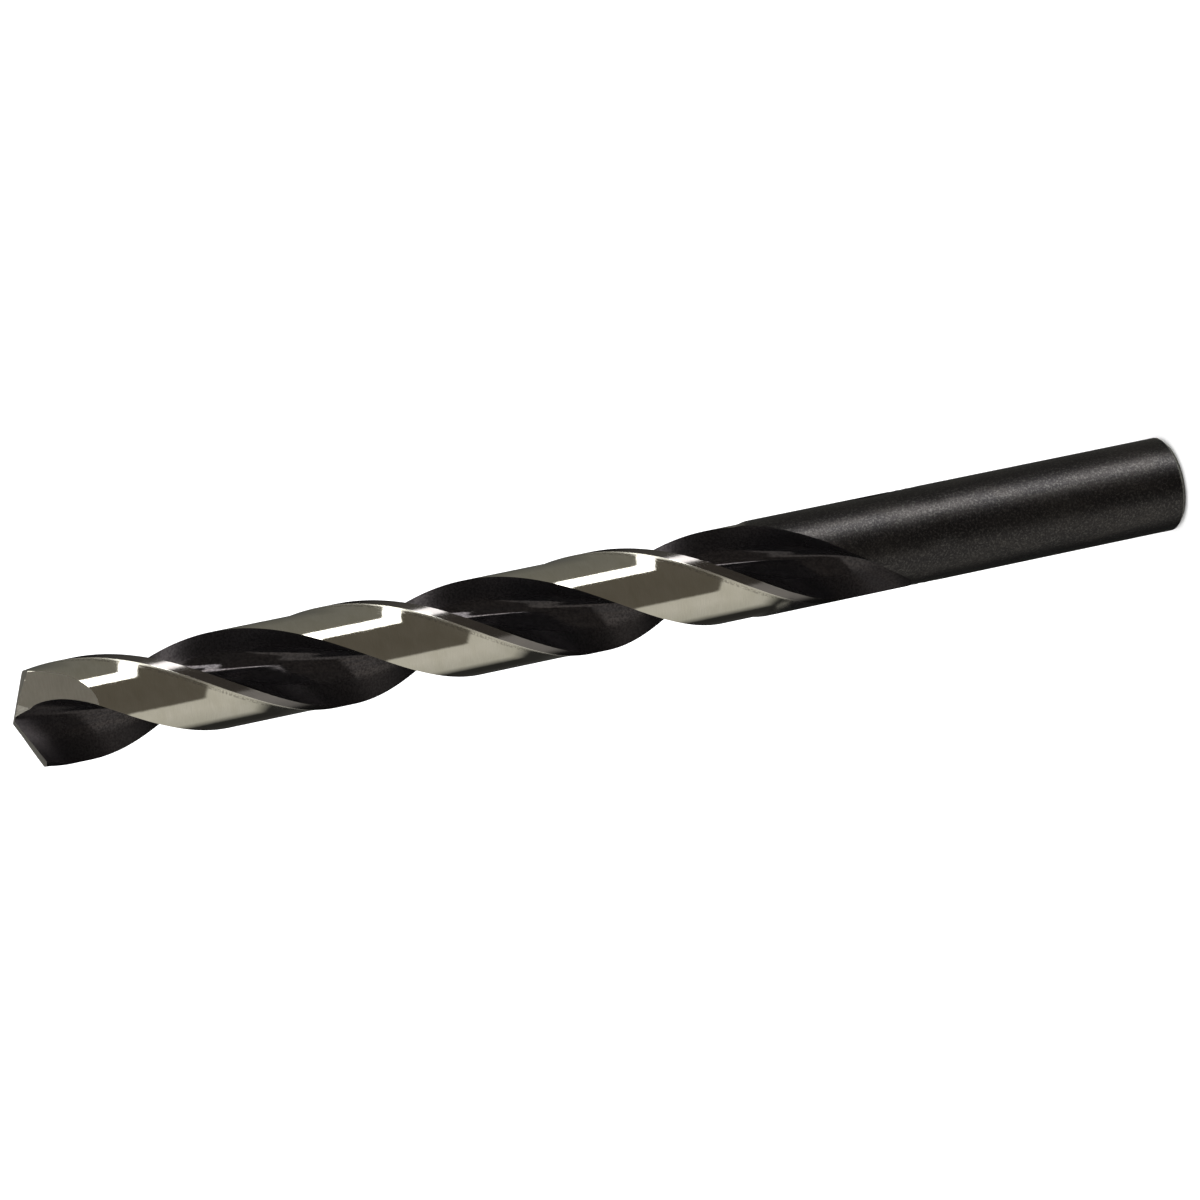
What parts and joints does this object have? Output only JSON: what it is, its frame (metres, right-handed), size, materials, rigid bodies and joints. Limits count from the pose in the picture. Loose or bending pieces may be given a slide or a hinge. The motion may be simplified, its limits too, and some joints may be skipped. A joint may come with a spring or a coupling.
{
  "type": "twist drill bit",
  "caption": "Straight-shank twist drill with spiral flutes, ground lands and a split cutting point, for drilling holes in metal or wood.",
  "frame": {"origin": "centre of the flat shank end, where the drill stands", "axes": "+Z along the drill's axis from the shank end to the point; the flutes are a right-hand helix about +Z"},
  "size_m": [0.012, 0.012, 0.1461],
  "materials": {
    "tool_steel": "black oxide flutes and shank with bright ground lands"
  },
  "bodies": {
    "root": {"drill_bit": "tool_steel"}
  },
  "joints": []
}
